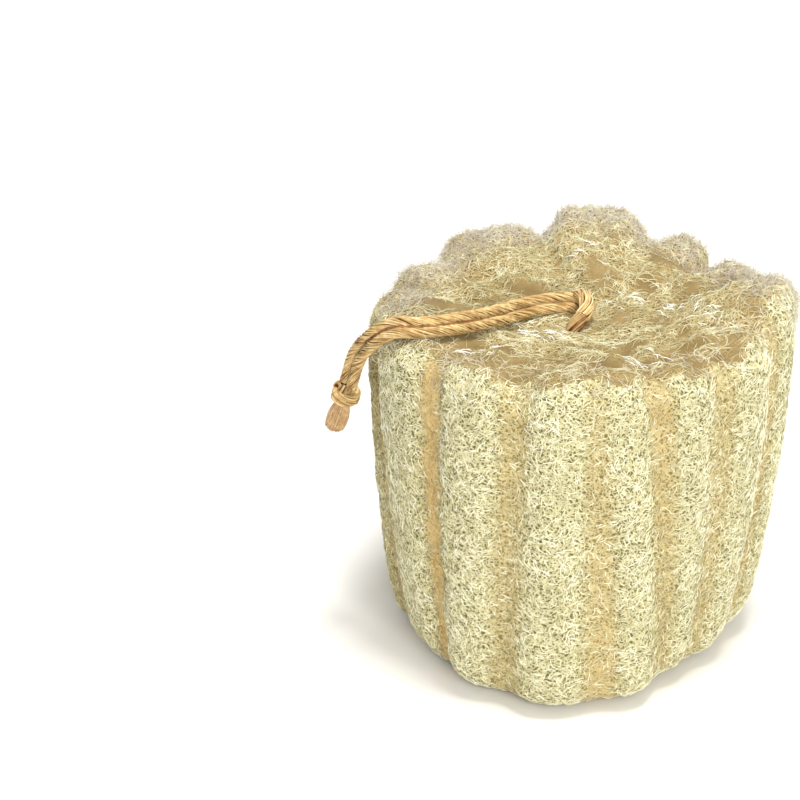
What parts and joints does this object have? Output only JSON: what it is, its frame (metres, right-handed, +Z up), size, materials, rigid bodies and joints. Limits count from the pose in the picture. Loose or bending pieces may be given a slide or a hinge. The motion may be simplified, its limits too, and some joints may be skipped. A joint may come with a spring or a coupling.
{
  "type": "natural loofah sponge",
  "caption": "Natural loofah sponge: a cut length of dried gourd fibre with lobed sides, a dished top and a knotted hanging cord.",
  "frame": {"origin": "middle of the cut base that the sponge stands on", "axes": "+Z up through the cut top; -Y towards the viewer of the picture; the cord hangs over the -X side"},
  "size_m": [0.1419, 0.129, 0.1184],
  "materials": {
    "loofah_fibre": "dry, matt net of pale plant fibres",
    "cord_fibre": "dry twisted jute"
  },
  "bodies": {
    "root": {"loofah": "loofah_fibre", "cord_strand_front": "cord_fibre", "cord_strand_back": "cord_fibre", "cord_stitch": "cord_fibre", "collar_knot": "cord_fibre", "end_knot": "cord_fibre", "cord_tail": "cord_fibre"}
  },
  "joints": []
}
